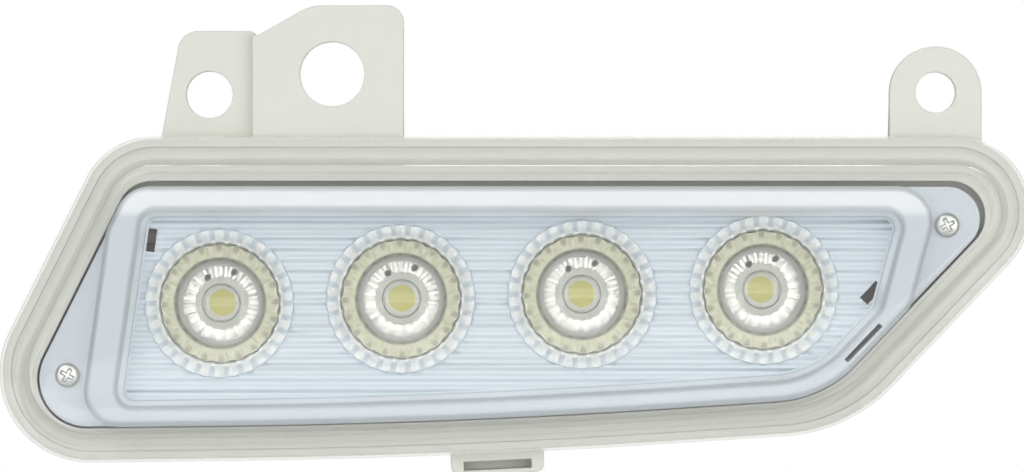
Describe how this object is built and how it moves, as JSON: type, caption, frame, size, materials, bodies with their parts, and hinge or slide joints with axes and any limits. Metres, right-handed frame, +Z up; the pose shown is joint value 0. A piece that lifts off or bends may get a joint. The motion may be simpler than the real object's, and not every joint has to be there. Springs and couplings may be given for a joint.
{
  "type": "daytime running light",
  "caption": "Leaning daytime running light with a clear cover, silver fluted bezel, a row of round optics, fixing ears, finned rear heat sink and a blade socket.",
  "frame": {"origin": "centre of the large fixing hole, at the rear seating face of its ear", "axes": "+X to the right as seen from the front, +Z up, the lens looks along -Y"},
  "size_m": [0.1853, 0.052, 0.0847],
  "materials": {
    "housing_plastic": "grey-beige moulded plastic, fine satin",
    "clear_cover": "clear polycarbonate, polished",
    "seal_rubber": "soft pale sealing compound",
    "metallised_bezel": "silver metallised plastic, satin",
    "clear_optic": "clear acrylic, polished",
    "led_white": "white package resin",
    "phosphor_yellow": "yellow phosphor in silicone",
    "board_white": "white coating on a metal core",
    "pad_grey": "soft grey conductive pad",
    "cast_aluminium": "die cast, bare",
    "gasket_rubber": "die-cut black rubber",
    "screw_steel": "zinc plated",
    "chip_black": "moulded black resin",
    "inductor_grey": "ferrite",
    "capacitor_tan": "ceramic",
    "connector_black": "glass-filled black plastic",
    "terminal_tin": "tin plated",
    "vent_rubber": "moulded black rubber"
  },
  "bodies": {
    "root": {"rear_housing": "housing_plastic", "cover_lens": "clear_cover", "seal_bead": "seal_rubber", "reflector_bezel": "metallised_bezel", "led_board": "board_white", "thermal_pad": "pad_grey", "heat_sink": "cast_aluminium", "heat_sink_gasket": "gasket_rubber", "heat_sink_screws": "screw_steel", "bezel_screws": "screw_steel", "driver_chip": "chip_black", "driver_inductor": "inductor_grey", "driver_diode": "chip_black", "driver_capacitors": "capacitor_tan", "driver_resistors": "chip_black", "connector_body": "connector_black", "connector_seal": "gasket_rubber", "positive_terminal": "terminal_tin", "negative_terminal": "terminal_tin", "vent_cap": "vent_rubber", "collimator_1": "clear_optic", "led_package_1": "led_white", "led_phosphor_1": "phosphor_yellow", "collimator_2": "clear_optic", "led_package_2": "led_white", "led_phosphor_2": "phosphor_yellow", "collimator_3": "clear_optic", "led_package_3": "led_white", "led_phosphor_3": "phosphor_yellow", "collimator_4": "clear_optic", "led_package_4": "led_white", "led_phosphor_4": "phosphor_yellow"}
  },
  "joints": []
}
